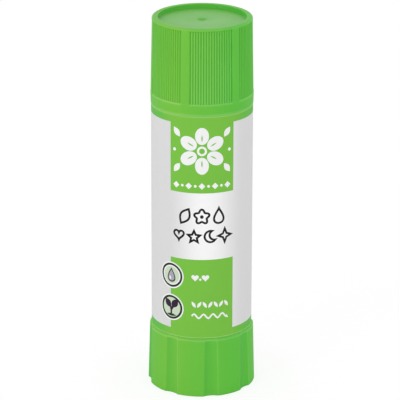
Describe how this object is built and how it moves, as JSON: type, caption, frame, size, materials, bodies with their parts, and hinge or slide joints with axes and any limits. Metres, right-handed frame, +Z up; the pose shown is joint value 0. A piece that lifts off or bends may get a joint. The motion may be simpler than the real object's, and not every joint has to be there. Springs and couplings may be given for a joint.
{
  "type": "glue stick",
  "caption": "Twist-up glue stick: a labelled round barrel, a ribbed pull-off cap and a fluted turn knob that drives a screw to raise the glue.",
  "frame": {"origin": "centre of the knob's foot ring, on the surface that the stick stands on", "axes": "+Z up along the stick's axis, towards the cap; the front of the label faces -Y"},
  "size_m": [0.0272, 0.0272, 0.096],
  "materials": {
    "barrel_plastic": "satin",
    "label_film": "satin",
    "knob_plastic": "satin",
    "spindle_plastic": "satin",
    "carrier_plastic": "satin",
    "glue": "satin",
    "cap_plastic": "satin"
  },
  "bodies": {
    "barrel": {"barrel": "barrel_plastic", "label": "label_film"},
    "drive": {"turn_knob": "knob_plastic", "spindle": "spindle_plastic"},
    "glue": {"glue_carrier": "carrier_plastic", "glue_stick": "glue"},
    "cap": {"cap": "cap_plastic"}
  },
  "joints": [
    {"name": "knob_turn", "type": "hinge", "parent": "barrel", "child": "drive", "pos_m": [0, 0, 0], "axis": [0, 0, 1], "range_deg": [0, 4140]},
    {"name": "carrier_rise", "type": "slide", "parent": "barrel", "child": "glue", "axis": [0, 0, 1], "range_m": [0, 0.0575]},
    {"name": "cap_pull", "type": "slide", "parent": "glue", "child": "cap", "axis": [0, 0, 1], "range_m": [0, 0.03]}
  ],
  "couplings": [
    {"joint": "knob_turn", "follows": "carrier_rise", "rad_per_m": 1256.6}
  ]
}
